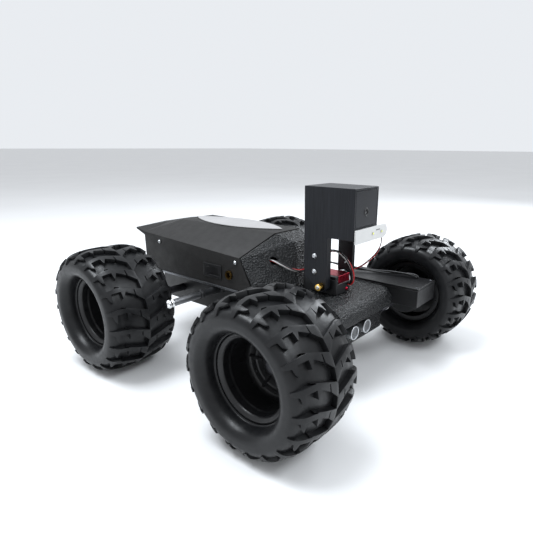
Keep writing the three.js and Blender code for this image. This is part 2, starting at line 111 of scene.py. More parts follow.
class Material:
    """A Principled material with helpers that add noise to its colour, roughness and surface."""

    def __init__(self, name, color, roughness, metallic=0.0, specular=0.5, coat=0.0):
        self.made = bpy.data.materials.new(name)
        self.made.use_nodes = True
        self.tree = self.made.node_tree
        self.shader = self.tree.nodes["Principled BSDF"]
        self.color = color
        self.height = None
        sockets = self.shader.inputs
        sockets["Base Color"].default_value = (*color, 1)
        sockets["Roughness"].default_value = roughness
        sockets["Metallic"].default_value = metallic
        sockets["Specular IOR Level"].default_value = specular
        sockets["Coat Weight"].default_value = coat
        sockets["Coat Roughness"].default_value = 0.15

    def node(self, kind, **values):
        made = self.tree.nodes.new(kind)
        for key, value in values.items():
            if key in made.inputs:
                made.inputs[key].default_value = value
            else:
                setattr(made, key, value)
        return made

    def link(self, source, target):
        self.tree.links.new(source, target)

    def place(self, stretch=(1, 1, 1)):
        """Object coordinates, stretched along chosen axes."""
        coordinates = self.node("ShaderNodeTexCoord")
        mapping = self.node("ShaderNodeMapping", Scale=stretch)
        self.link(coordinates.outputs["Object"], mapping.inputs["Vector"])
        return mapping.outputs["Vector"]

    def noise(self, scale, detail=4.0, rough=0.5, stretch=(1, 1, 1)):
        made = self.node("ShaderNodeTexNoise", Scale=scale, Detail=detail, Roughness=rough)
        self.link(self.place(stretch), made.inputs["Vector"])
        return made.outputs["Fac"]

    def cells(self, scale):
        made = self.node("ShaderNodeTexVoronoi", feature="F1", Scale=scale)
        self.link(self.place(), made.inputs["Vector"])
        return made.outputs["Distance"]

    def spread(self, value, low, high, start=0.3, end=0.7):
        made = self.node("ShaderNodeMapRange")
        for key, number in zip(("From Min", "From Max", "To Min", "To Max"), (start, end, low, high)):
            made.inputs[key].default_value = number
        self.link(value, made.inputs["Value"])
        return made.outputs["Result"]

    def tint(self, value, other, start=0.35, end=0.7):
        """Mixes the base colour towards another where the value is high."""
        mix = self.node("ShaderNodeMix", data_type="RGBA")
        mix.inputs["A"].default_value = (*self.color, 1)
        mix.inputs["B"].default_value = (*other, 1)
        self.link(self.spread(value, 0, 1, start, end), mix.inputs["Factor"])
        self.link(mix.outputs["Result"], self.shader.inputs["Base Color"])
        return self

    def polish(self, value, low, high):
        self.link(self.spread(value, low, high), self.shader.inputs["Roughness"])
        return self

    def bump(self, value, depth, strength=1.0):
        made = self.node("ShaderNodeBump", Strength=strength, Distance=depth)
        self.link(value, made.inputs["Height"])
        if self.height is not None:
            self.link(self.height, made.inputs["Normal"])
        self.height = made.outputs["Normal"]
        self.link(self.height, self.shader.inputs["Normal"])
        return self


def rubber():
    made = Material("rubber", (0.005, 0.0053, 0.006), 0.34, specular=0.27)
    made.tint(made.noise(60, 6), (0.011, 0.0112, 0.012))
    made.polish(made.noise(220, 5), 0.28, 0.44)
    made.bump(made.noise(2600, 3), 0.00006, 0.5)
    return made.bump(made.noise(420, 4), 0.00012, 0.35).made


def moulded_black(name="moulded_black", color=(0.006, 0.006, 0.0065), roughness=0.4):
    made = Material(name, color, roughness, specular=0.4)
    made.tint(made.noise(40, 5), tuple(1.7 * c for c in color))
    made.polish(made.noise(300, 4), roughness - 0.07, roughness + 0.1)
    return made.bump(made.noise(3000, 2), 0.00003, 0.5).made


def painted_black():
    made = Material("painted_black", (0.007, 0.0075, 0.0085), 0.38, specular=0.45)
    made.tint(made.noise(30, 5), (0.012, 0.0125, 0.0135))
    made.polish(made.noise(160, 4), 0.32, 0.48)
    return made.bump(made.noise(1800, 3), 0.00004, 0.5).made


def brushed_head():
    made = Material("brushed_head", (0.005, 0.006, 0.008), 0.32, specular=0.24)
    streaks = made.noise(90, 5, stretch=(9, 9, 0.35))
    made.tint(streaks, (0.013, 0.014, 0.018))
    made.polish(streaks, 0.3, 0.46)
    return made.bump(made.noise(420, 4, stretch=(6, 6, 0.3)), 0.00004, 0.5).made


def hood_skin():
    made = Material("hood_skin", (0.008, 0.0078, 0.0078), 0.55, specular=0.24)
    made.tint(made.noise(1500, 3, 0.7), (0.027, 0.0255, 0.0245), 0.42, 0.72)
    made.polish(made.noise(90, 5), 0.46, 0.64)
    return made.bump(made.noise(1400, 4, 0.65), 0.0002, 0.7).made


def wrinkle_coat():
    made = Material("wrinkle_coat", (0.003, 0.0034, 0.0038), 0.2, specular=0.36)
    made.tint(made.noise(700, 4), (0.009, 0.01, 0.011))
    made.polish(made.noise(500, 4), 0.12, 0.3)
    made.bump(made.cells(520), 0.0011, 1.0)
    return made.bump(made.noise(800, 4, 0.6), 0.0009, 0.9).made


def metal(name, color, roughness, stretch=(1, 1, 1), worn=0.75):
    made = Material(name, color, roughness, metallic=1.0)
    grain = made.noise(500, 5, stretch=stretch)
    made.tint(made.noise(70, 5), tuple(worn * c for c in color))
    made.polish(grain, max(0.04, roughness - 0.06), roughness + 0.08)
    return made.bump(grain, 0.00002, 0.5).made


def gloss(name, color, roughness, worn=0.93):
    made = Material(name, color, roughness, specular=0.5)
    made.tint(made.noise(25, 3), tuple(worn * c for c in color))
    made.polish(made.noise(140, 4), roughness * 0.8, roughness * 1.4)
    return made.bump(made.noise(900, 2), 0.00002, 0.3).made


def insulation(name, color):
    made = Material(name, color, 0.38, specular=0.5)
    made.tint(made.noise(200, 3), tuple(0.7 * c for c in color))
    made.polish(made.noise(500, 3), 0.3, 0.5)
    return made.bump(made.noise(1500, 2), 0.00003, 0.4).made


def circuit_board():
    made = Material("circuit_board", (0.008, 0.05, 0.022), 0.35, specular=0.5)
    made.tint(made.cells(380), (0.02, 0.09, 0.04), 0.2, 0.6)
    made.polish(made.noise(300, 3), 0.28, 0.45)
    return made.bump(made.cells(380), 0.00006, 0.6).made


def grille_mesh():
    """A fine woven wire disc, as two crossed sets of waves."""
    made = Material("grille_mesh", (0.05, 0.052, 0.055), 0.4, metallic=0.8)
    waves = [
        made.node("ShaderNodeTexWave", bands_direction=axis, Scale=260.0, Distortion=0.0)
        for axis in ("X", "Z")
    ]
    both = made.node("ShaderNodeMath", operation="MULTIPLY")
    for wave, socket in zip(waves, both.inputs):
        made.link(made.place(), wave.inputs["Vector"])
        made.link(wave.outputs["Fac"], socket)
    made.tint(both.outputs["Value"], (0.35, 0.36, 0.37), 0.1, 0.7)
    made.polish(both.outputs["Value"], 0.3, 0.5)
    return made.bump(both.outputs["Value"], 0.0002, 0.8).made


def glass_black():
    made = Material("glass_black", (0.002, 0.0022, 0.003), 0.06, specular=0.8, coat=0.6)
    made.tint(made.noise(300, 3), (0.004, 0.004, 0.007))
    made.polish(made.noise(200, 3), 0.04, 0.1)
    return made.bump(made.noise(150, 1), 0.00001, 0.2).made


def phosphor():
    made = Material("phosphor", (0.75, 0.78, 0.04), 0.4, specular=0.4)
    made.tint(made.noise(900, 3), (0.85, 0.9, 0.12))
    made.polish(made.noise(900, 3), 0.3, 0.5)
    return made.bump(made.noise(2000, 2), 0.00004, 0.4).made


M = {
    "rubber": rubber(),
    "plastic": moulded_black(),
    "rim": moulded_black("rim_black", (0.004, 0.004, 0.0045), 0.34),
    "painted": painted_black(),
    "head": brushed_head(),
    "hood": hood_skin(),
    "wrinkle": wrinkle_coat(),
    "alloy": metal("bare_alloy", (0.32, 0.33, 0.35), 0.34, (1, 0.1, 1)),
    "silver": metal("silver_turned", (0.78, 0.8, 0.82), 0.32),
    "steel": metal("grey_steel", (0.22, 0.225, 0.235), 0.32, (0.2, 1, 1)),
    "dark_steel": metal("dark_steel", (0.1, 0.1, 0.11), 0.35, (0.2, 1, 1)),
    "chrome": metal("chrome", (0.82, 0.83, 0.84), 0.08, worn=0.95),
    "brass": metal("brass", (0.72, 0.45, 0.11), 0.22),
    "socket_brass": metal("socket_brass", (0.2, 0.12, 0.035), 0.3),
    "anodised": metal("anodised_red", (0.42, 0.012, 0.035), 0.3),
    # The hood panel's pale colour is partly its own and partly painted highlight: it stands in for the
    # overhead light's reflection on the hood top.
    "pale": gloss("pale_gloss", (0.3, 0.293, 0.293), 0.55),
    "lamp_board": gloss("lamp_board", (0.58, 0.58, 0.57), 0.45, 0.96),
    "board": circuit_board(),
    "wrap": gloss("cell_wrap", (0.02, 0.05, 0.2), 0.3),
    "grille": grille_mesh(),
    "glass": glass_black(),
    "phosphor": phosphor(),
    "red_wire": insulation("red_wire", (0.5, 0.012, 0.014)),
    "white_wire": insulation("white_wire", (0.5, 0.49, 0.48)),
    "black_wire": insulation("black_wire", (0.006, 0.006, 0.007)),
}


# ---------------------------------------------------------------- making pieces

def shade(mesh, angle=SHARP):
    mesh.shade_smooth()
    mesh.set_sharp_from_angle(angle=angle)


def piece(name, bm, material, body):
    """Turns a bmesh into a piece that rides on a body."""
    mesh = bpy.data.meshes.new(name)
    bmesh.ops.recalc_face_normals(bm, faces=bm.faces)
    bm.to_mesh(mesh)
    bm.free()
    shade(mesh)
    mesh.materials.append(M[material])
    made = bpy.data.objects.new(name, mesh)
    bpy.context.scene.collection.objects.link(made)
    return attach(made, body)


def clean_copy(node):
    """A node's mesh with its doubled corners merged and its flat faces whole."""
    bm = bmesh.new()
    bm.from_mesh(frame["nodes"][node].data)
    bmesh.ops.remove_doubles(bm, verts=bm.verts, dist=0.00001)
    bmesh.ops.dissolve_limit(bm, angle_limit=math.radians(1), verts=bm.verts, edges=bm.edges)
    return bm


def bevel_sharp(bm, width, segments=2, angle=SHARP):
    edges = [e for e in bm.edges if len(e.link_faces) == 2 and e.calc_face_angle() > angle]
    bmesh.ops.bevel(
        bm, geom=edges, offset=width, segments=segments, profile=0.6, affect="EDGES", clamp_overlap=True
    )
    bmesh.ops.remove_doubles(bm, verts=bm.verts, dist=0.000004)


def body_of_node(node):
    bodies = frame["record"]["behaviour"]["bodies"]
    return next(body for body, nodes in bodies.items() if node in nodes)


def stand_in(made, node):
    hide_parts(node)
    return made


def refined(node, material, width=0.4 * MM, segments=2):
    """The node's own shape with rounded edges."""
    bm = clean_copy(node)
    bevel_sharp(bm, width, segments)
    made = stand_in(piece(node + "_finish", bm, material, body_of_node(node)), node)
    even_shading = made.modifiers.new("even_shading", "WEIGHTED_NORMAL")
    even_shading.keep_sharp = True
    return made


def painted(node, material):
    """Keeps a CAD node and gives it a finished material."""
    data = frame["nodes"][node].data
    data.materials.clear()
    data.materials.append(M[material])


def aim(place, direction):
    """A matrix that stands a piece made along +Z at a place, pointing in a direction."""
    return Matrix.Translation(place) @ Vector(direction).to_track_quat("Z", "Y").to_matrix().to_4x4()


def lathe(profile, segments=48, place=(0, 0, 0), direction=(0, 0, 1), bm=None):
    """Revolves a closed profile of (radius, height) about an axis. Points on the axis are shared."""
    bm = bm or bmesh.new()
    matrix = aim(place, direction)
    rings = []
    for radius, height in profile:
        if radius < 1e-7:
            rings.append([bm.verts.new(matrix @ Vector((0, 0, height)))])
            continue
        rings.append([
            bm.verts.new(matrix @ Vector((radius * math.cos(a), radius * math.sin(a), height)))
            for a in (2 * math.pi * i / segments for i in range(segments))
        ])
    loop = rings if profile[0][0] < 1e-7 else rings + [rings[0]]
    for one, two in zip(loop, loop[1:]):
        for i in range(segments):
            j = (i + 1) % segments
            corners = [one[i % len(one)], one[j % len(one)], two[j % len(two)], two[i % len(two)]]
            corners = list(dict.fromkeys(corners))
            if len(corners) > 2:
                bm.faces.new(corners)
    return bm


def rounded(points, radius, steps=3):
    """A profile with its corners cut to small arcs, for lathe()."""
    made = []
    count = len(points)
    for i, here in enumerate(points):
        here = Vector(here)
        before = Vector(points[i - 1]) - here
        after = Vector(points[(i + 1) % count]) - here
        reach = min(radius, before.length * 0.45, after.length * 0.45)
        if here.x < 1e-7 or reach < 1e-6:
            made.append(tuple(here))
            continue
        start = here + before.normalized() * reach
        end = here + after.normalized() * reach
        for k in range(steps + 1):
            t = k / steps
            made.append(tuple(start * (1 - t) ** 2 + here * 2 * t * (1 - t) + end * t * t))
    return made


def block(low, high, width=0.3 * MM, bm=None):
    """A box between two corners with rounded edges."""
    made = bmesh.new()
    size = Vector(high) - Vector(low)
    centre = (Vector(high) + Vector(low)) / 2
    bmesh.ops.create_cube(made, size=1, matrix=Matrix.Translation(centre) @ Matrix.Diagonal((*size, 1)))
    bmesh.ops.bevel(
        made, geom=made.edges[:], offset=width, segments=2, profile=0.6, affect="EDGES", clamp_overlap=True
    )
    return merged(bm, made)


def merged(bm, other):
    """Adds one bmesh to another."""
    if bm is None:
        return other
    mesh = bpy.data.meshes.new("part")
    other.to_mesh(mesh)
    other.free()
    bm.from_mesh(mesh)
    bpy.data.meshes.remove(mesh)
    return bm


def socket_screw(radius, height, place, direction, bm=None):
    """A button head with a hexagonal socket sunk in its crown."""
    flat = radius * 0.5
    across = radius * 0.42
    crown = [(radius * math.cos(a), height * math.sin(a)) for a in (0, 0.5, 0.9)]
    bm = bm or bmesh.new()
    sides = 36
    profile = [(radius, -0.4 * height), *crown, (flat, height)]
    matrix = aim(place, direction)
    rings = []
    for r, z in profile:
        rings.append([
            bm.verts.new(matrix @ Vector((r * math.cos(a), r * math.sin(a), z)))
            for a in (2 * math.pi * i / sides for i in range(sides))
        ])
    for depth in (height * 0.98, height * 0.1):
        ring = []
        for i in range(sides):
            a = 2 * math.pi * i / sides
            reach = across * math.cos(math.pi / 6) / math.cos((a % (math.pi / 3)) - math.pi / 6)
            ring.append(bm.verts.new(matrix @ Vector((reach * math.cos(a), reach * math.sin(a), depth))))
        rings.append(ring)
    for one, two in zip(rings, rings[1:]):
        for i in range(sides):
            j = (i + 1) % sides
            bm.faces.new([one[i], one[j], two[j], two[i]])
    bm.faces.new(rings[0][::-1])
    bm.faces.new(rings[-1])
    return bm


# ---------------------------------------------------------------- cords

WIRE_TWIST = 95 * MM  # The length over which a wire winds once round its bundle.


def smooth_route(points, steps=8):
    """A centripetal Catmull-Rom curve through points, as a list of points."""
    ends = [2 * points[0] - points[1], *points, 2 * points[-1] - points[-2]]
    made = [points[0]]
    for a, b, c, d in zip(ends, ends[1:], ends[2:], ends[3:]):
        knots = [0.0]
        for p, q in ((a, b), (b, c), (c, d)):
            knots.append(knots[-1] + max(1e-6, (q - p).length) ** 0.5)
        k0, k1, k2, k3 = knots
        for i in range(1, steps + 1):
            t = k1 + (k2 - k1) * i / steps
            one = a.lerp(b, (t - k0) / (k1 - k0))
            two = b.lerp(c, (t - k1) / (k2 - k1))
            three = c.lerp(d, (t - k2) / (k3 - k2))
            left = one.lerp(two, (t - k0) / (k2 - k0))
            right = two.lerp(three, (t - k1) / (k3 - k1))
            made.append(left.lerp(right, (t - k1) / (k2 - k1)))
    return made


def strand(name, route, offset, turn, radius, material, body):
    """One wire of a bundle: it keeps a distance from the route and winds slowly round it."""
    points = []
    side = None
    travelled = 0.0
    for i, here in enumerate(route):
        ahead = route[min(i + 1, len(route) - 1)] - route[max(i - 1, 0)]
        ahead.normalize()
        if side is None:
            side = ahead.orthogonal().normalized()
        side = (side - ahead * side.dot(ahead)).normalized()
        if i:
            travelled += (here - route[i - 1]).length
        angle = turn + travelled * 2 * math.pi / WIRE_TWIST
        out = side * math.cos(angle) + ahead.cross(side) * math.sin(angle)
        points.append(here + out * offset)
    data = bpy.data.curves.new(name, "CURVE")
    data.dimensions = "3D"
    data.bevel_depth = radius
    data.bevel_resolution = 3
    data.use_fill_caps = True
    spline = data.splines.new("POLY")
    spline.points.add(len(points) - 1)
    for target, point in zip(spline.points, points):
        target.co = (*point, 1)
    data.materials.append(M[material])
    made = bpy.data.objects.new(name, data)
    bpy.context.scene.collection.objects.link(made)
    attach(made, body)
    return made


def bundle(node, route, wires, offset, radius):
    """The wires of one lead. The first stands for the lead's CAD node."""
    points = smooth_route([Vector(p) * MM for p in route])
    body = body_of_node(node)
    for i, material in enumerate(wires):
        turn = 2 * math.pi * i / len(wires)
        made = strand(f"{node}_strand_{i}", points, offset, turn, radius, material, body)
        if i == 0:
            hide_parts(node)


SERVO_LEAD = [
    (-39, -16, 132), (-39, -28, 132.3), (-36, -39, 129), (-28, -48.5, 123), (-18, -53.6, 120.2),
    (-9, -58, 122.7), (-5, -65, 133), (-2, -78, 144), (1, -92, 145), (4, -104, 135),
    (6, -109.5, 122), (6, -110, 113), (6, -107.5, 109), (6, -103.5, 108.4),
]
FLAT_LEAD = [
    (58, -12, 114), (60, -25, 113.4), (64, -40, 112), (73, -57, 108.5), (82, -76, 105.2),
    (88, -98, 105), (92, -120, 106.2), (95, -138, 106.8), (95.5, -145.5, 106),
    (95.5, -148.5, 104.4), (95.5, -148.7, 102.5),
]
LIGHT_LEAD = [
    (32, -129.5, 161.6), (32, -129, 154), (32, -124, 143), (32, -115, 133),
    (32, -105, 124.5), (31.8, -96.5, 120), (28.3, -95.6, 119.6),
]

bundle("servo_lead", SERVO_LEAD, ["red_wire", "black_wire", "white_wire"], 0.95 * MM, 0.72 * MM)
bundle("flat_lead", FLAT_LEAD, ["black_wire", "black_wire"], 1.1 * MM, 1.05 * MM)
bundle("light_lead", LIGHT_LEAD, ["black_wire", "red_wire"], 0.55 * MM, 0.5 * MM)


# ---------------------------------------------------------------- tyres

LUG_COUNT = 19
LUG_DEPTH = 5.2 * MM
LUG_ROOT = 0.5 * MM  # How far a bar's foot reaches into the tyre's body.
SIDE_DEPTH = 0.7 * MM
SHOULDER_START = 30 * MM
SHOULDER_WIDTH = 20 * MM
SHOULDER_RADIUS = TYRE_RADIUS - 21.3 * MM
SQUARENESS = 3.25

# One half of a tread bar, in millimetres: distance out from the tyre's centre line, and along it.
TREAD_BAR = [
    (-0.6, -0.6), (0, -0.6), (8.75, 7.4), (9.0, 14.4), (9.9, 14.4), (10.3, 8.4), (19.4, 13.8),
    (23.0, 7.6), (23.9, 7.6), (24.1, 15.4), (34.3, 15.4), (35.3, 5.6), (36.2, 6.2), (38.2, 9.0),
    (39.4, 14.3), (46.3, 15.8), (46.9, 19.4), (28.6, 20.9), (24.4, 20.4), (24.4, 21.2),
    (28.4, 22.6), (0, 12.6), (-0.6, 12.4),
]


def tread_curve():
    """The tyre's outer section as a list of (distance along it, x, radius) from its middle outwards."""
    curve = [(0.0, 0.0, TYRE_RADIUS)]
    steps = 240
    for i in range(1, steps + 1):
        angle = math.pi / 2 * (1 - i / steps)
        x = TYRE_HALF * math.cos(angle) ** (2 / SQUARENESS)
        r = SHOULDER_RADIUS + (TYRE_RADIUS - SHOULDER_RADIUS) * max(0, math.sin(angle)) ** (2 / SQUARENESS)
        s, px, pr = curve[-1]
        curve.append((s + math.hypot(x - px, r - pr), x, r))
    return curve


CURVE = tread_curve()


def on_tread(along):
    """Place and outward direction on the tyre's outer section, for a distance from its middle."""
    sign = -1 if along < 0 else 1
    along = abs(along)
    k = 1
    while k < len(CURVE) - 1 and CURVE[k][0] < along:
        k += 1
    (s0, x0, r0), (s1, x1, r1) = CURVE[k - 1], CURVE[k]
    t = (along - s0) / (s1 - s0)
    length = math.hypot(x1 - x0, r1 - r0)
    nx, nr = (r0 - r1) / length, (x1 - x0) / length
    return sign * (x0 + (x1 - x0) * t), r0 + (r1 - r0) * t, sign * nx, nr


def groove_depth(along):
    """How far the tyre's body lies under the tops of its bars."""
    t = min(1, max(0, (abs(along) - SHOULDER_START) / SHOULDER_WIDTH))
    t = t * t * (3 - 2 * t)
    return LUG_DEPTH * (1 - t) + SIDE_DEPTH * t


def flat_bar():
    """One tread bar half as a flat solid, cut into small faces so that it can wrap round the tyre."""
    bm = bmesh.new()
    base = bm.faces.new([bm.verts.new((u * MM, v * MM, 0)) for u, v in TREAD_BAR])
    top = bmesh.ops.extrude_face_region(bm, geom=[base])
    lifted = [g for g in top["geom"] if isinstance(g, bmesh.types.BMVert)]
    bmesh.ops.translate(bm, verts=lifted, vec=(0, 0, LUG_DEPTH))
    bmesh.ops.recalc_face_normals(bm, faces=bm.faces)
    edges = [e for e in bm.edges if all(v.co.z > LUG_DEPTH / 2 for v in e.verts)]
    bmesh.ops.bevel(
        bm, geom=edges, offset=0.32 * MM, segments=2, profile=0.6, affect="EDGES", clamp_overlap=True
    )
    across, around = 2.6, 4
    for i in range(1, 19):
        cut_flat(bm, (i * across * MM, 0, 0), (1, 0, 0))
    for i in range(6):
        cut_flat(bm, (0, i * around * MM, 0), (0, 1, 0))
    return bm


def cut_flat(bm, place, direction):
    """Adds the edges where a plane crosses a mesh."""
    everything = bm.verts[:] + bm.edges[:] + bm.faces[:]
    bmesh.ops.bisect_plane(bm, geom=everything, dist=1e-7, plane_co=place, plane_no=direction)


def wrapped(u, v, z, side):
    """A point of a flat bar, put on a tyre whose axle is the X axis. Front is -Y."""
    x, radius, nx, nr = on_tread(u)
    sunk = (1 - z / LUG_DEPTH) * (groove_depth(u) + LUG_ROOT)
    angle = v / TYRE_RADIUS
    r = radius - nr * sunk
    return (side * (x - nx * sunk), -r * math.cos(angle), r * math.sin(angle))


def tyre_bars(side):
    """All the tread bars of one tyre, as points and faces."""
    bm = flat_bar()
    bm.verts.index_update()
    flat = [tuple(v.co) for v in bm.verts]
    faces = [[v.index for v in f.verts] for f in bm.faces]
    bm.free()
    pitch = 2 * math.pi * TYRE_RADIUS / LUG_COUNT
    points, loops = [], []
    for k in range(LUG_COUNT):
        for half in (1, -1):
            start = len(points)
            shift = pitch * (k + (0 if half > 0 else 0.5))
            points += [wrapped(half * u, v + shift, z, side) for u, v, z in flat]
            turned = half * side > 0
            loops += [[start + i for i in (f if turned else f[::-1])] for f in faces]
    return points, loops


def tyre_section():
    """The tyre's body in section: groove floor, bulged sidewalls, beads and a plain inside."""
    steps = 44
    reach = CURVE[-1][0]
    floor = []
    for i in range(-steps, steps + 1):
        u = reach * i / steps
        x, r, nx, nr = on_tread(u)
        depth = groove_depth(u)
        floor.append((x - nx * depth, r - nr * depth))
    drawn_shoulder = 51.7 * MM
    wall = [
        (41.2, 49.8), (40.2, 47.8), (38.6, 45.8), (36.2, 44.1), (33.4, 43.0),
        (30.6, 42.4), (28.4, 42.2), (26.6, 42.3), (25.7, 41.7), (25.4, 40.9), (21.6, 40.7), (21.6, 37.3),
    ]
    inside = [(x * MM, r * MM + (SHOULDER_RADIUS - drawn_shoulder)) for x, r in wall]
    return [*[(-x, r) for x, r in inside[::-1]], *floor, *inside]


def tyre_mesh(side):
    mesh = bpy.data.meshes.new("tyre_right" if side < 0 else "tyre_left")
    points, loops = tyre_bars(side)
    section = tyre_section()
    turns = LUG_COUNT * 6
    start = len(points)
    for i in range(turns):
        a = 2 * math.pi * i / turns
        points += [(side * x, -r * math.cos(a), r * math.sin(a)) for x, r in section]
    count = len(section)
    for i in range(turns):
        here = start + i * count
        ahead = start + (i + 1) % turns * count
        for k in range(count):
            m = (k + 1) % count
            loops.append([here + k, here + m, ahead + m, ahead + k])
    mesh.from_pydata(points, [], loops)
    bm = bmesh.new()
    bm.from_mesh(mesh)
    bmesh.ops.recalc_face_normals(bm, faces=bm.faces)
    bm.to_mesh(mesh)
    bm.free()
    shade(mesh, math.radians(38))
    mesh.materials.append(M["rubber"])
    return mesh


def make_tyres():
    meshes = {side: tyre_mesh(side) for side in (-1, 1)}
    for corner, (side, _) in CORNERS.items():
        node = f"tyre_{corner}"
        made = bpy.data.objects.new(node + "_tread", meshes[side])
        bpy.context.scene.collection.objects.link(made)
        made.location = middle(node)
        stand_in(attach(made, body_of_node(node)), node)


make_tyres()


# ---------------------------------------------------------------- rims and drive

def rim_profile():
    """The rim in section as (radius, distance outboard), with a rolled lip and a stepped barrel."""
    points = [
        (34.4, -26.5), (40.2, -26.8), (40.2, -24.2), (37.0, -23.4), (36.8, 21.8), (40.0, 22.2),
        (40.4, 24.9), (38.6, 25.2), (37.2, 24.2), (36.0, 23.6), (34.8, 22.0), (34.4, 16.0),
        (33.6, 14.0), (33.6, -4.0), (32.4, -6.5), (31.0, -8.4), (26.0, -9.0), (25.4, -8.2),
        (23.8, -8.2), (23.2, -9.0), (15.2, -9.0), (14.2, -7.4), (11.0, -7.4), (10.2, -9.0),
        (4.4, -9.0), (4.4, -11.8), (33.0, -11.9), (34.0, -14.0),
    ]
    return rounded([(r * MM, x * MM) for r, x in points], 0.5 * MM, 2)


def make_rim(corner, side):
    """The turned rim with ribs on its web and a screw between each two."""
    node = f"rim_{corner}"
    centre = middle(f"tyre_{corner}")
    out = Vector((side, 0, 0))
    low, high = 14.5 * MM, 32.0 * MM
    ribs = 6
    bm = lathe(rim_profile(), 96, centre, out)
    for i in range(ribs):
        a = 2 * math.pi * i / ribs
        spoke = Vector((0, math.cos(a), math.sin(a)))
        across = out.cross(spoke)
        rib = bmesh.new()
        bmesh.ops.create_cube(rib, size=1, matrix=Matrix.Diagonal((high - low, 3.2 * MM, 2.2 * MM, 1)))
        bmesh.ops.bevel(rib, geom=rib.edges[:], offset=0.6 * MM, segments=2, affect="EDGES")
        turn = Matrix((spoke, across, out)).transposed().to_4x4()
        place = Matrix.Translation(centre + spoke * (low + high) / 2 + out * (-8.4 * MM))
        bmesh.ops.transform(rib, matrix=place @ turn, verts=rib.verts)
        merged(bm, rib)
        between = a + math.pi / ribs
        seat = centre + Vector((0, math.cos(between), math.sin(between))) * 28.6 * MM + out * (-8.9 * MM)
        socket_screw(1.5 * MM, 0.9 * MM, seat, out, bm)
    stand_in(piece(f"rim_{corner}_turned", bm, "rim", body_of_node(node)), node)


def make_drive(corner, side):
    """A wheel's axle and nut, and the motor in its hub with screws, a band and a stub to the tub."""
    refined(f"axle_{corner}", "dark_steel", 0.35 * MM)
    refined(f"wheel_nut_{corner}", "dark_steel", 0.5 * MM)
    refined(f"hub_motor_{corner}", "painted", 0.5 * MM)
    motor = middle(f"hub_motor_{corner}")
    low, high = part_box(f"hub_motor_{corner}")
    back = low.x if side > 0 else high.x
    radius = (high.z - low.z) / 2
    circle = radius * 0.68
    bm = bmesh.new()
    for i in range(4):
        a = math.pi / 4 + i * math.pi / 2
        seat = Vector((back, motor.y + circle * math.cos(a), motor.z + circle * math.sin(a)))
        socket_screw(1.6 * MM, 1.0 * MM, seat, (-side, 0, 0), bm)
    piece(f"motor_screws_{corner}", bm, "steel", "chassis")
    crest, half = radius + 0.5 * MM, 0.6 * MM
    band = [(radius, -half), (crest, -half), (crest, half), (radius, half)]
    bm = lathe(rounded(band, 0.2 * MM, 2), 64, motor, (side, 0, 0))
    piece(f"motor_band_{corner}", bm, "dark_steel", "chassis")
    low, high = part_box(f"axle_stub_{corner}")
    length = high.x - low.x
    tube = [(0, 0), (4.8 * MM, 0), (4.8 * MM, length), (0, length)]
    bm = lathe(rounded(tube, 0.3 * MM, 2), 40, rod_start(low, high, 1), (1, 0, 0))
    stand_in(piece(f"axle_stub_{corner}_tube", bm, "dark_steel", "chassis"), f"axle_stub_{corner}")


def rod_start(low, high, side):
    """The middle of the end where a rod starts, from its box, for a rod that runs along X to a side."""
    return Vector((high.x if side < 0 else low.x, (low.y + high.y) / 2, (low.z + high.z) / 2))


def make_link(corner, side):
    """A torque link: satin tube, polished ball and collar, stud to the motor and a clamp at the body."""
    node = f"torque_link_{corner}"
    low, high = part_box(node)
    length = high.x - low.x
    start = rod_start(low, high, side)
    out = (side, 0, 0)
    ball = length - 15.4 * MM
    neck = ball - 3 * MM
    tip = length - 0.1 * MM
    thick = 6.3 * MM
    tube = [(0, 0.2 * MM), (5.4 * MM, 0.2 * MM), (thick, 3 * MM), (thick, neck), (0, neck)]
    bm = lathe(rounded(tube, 0.6 * MM, 3), 48, start, out)
    stand_in(piece(node + "_tube", bm, "steel", "chassis"), node)
    joint = [
        (0, neck), (6.6 * MM, neck), (7.2 * MM, ball - 2 * MM), (7.2 * MM, ball + 0.4 * MM),
        (5.6 * MM, ball + 1.2 * MM), (6.6 * MM, ball + 3.0 * MM), (6.6 * MM, ball + 5.2 * MM),
        (4.6 * MM, ball + 7.6 * MM), (2.6 * MM, ball + 8.4 * MM), (2.4 * MM, tip), (0, tip),
    ]
    bm = lathe(rounded(joint, 0.6 * MM, 4), 48, start, out)
    piece(node + "_ball", bm, "chrome", "chassis")
    clamp = start + Vector((side * 2.2 * MM, 0, 0))
    collar = [(6.35 * MM, -1.6 * MM), (8.6 * MM, -1.6 * MM), (8.6 * MM, 4.4 * MM), (6.35 * MM, 4.4 * MM)]
    bm = lathe(rounded(collar, 0.5 * MM, 3), 40, clamp, out)
    for z in (-1, 1):
        seat = clamp + Vector((side * 1.4 * MM, 0, z * 8.4 * MM))
        socket_screw(1.5 * MM, 1.1 * MM, seat, (0, 0, z), bm)
    piece(node + "_clamp", bm, "painted", "chassis")


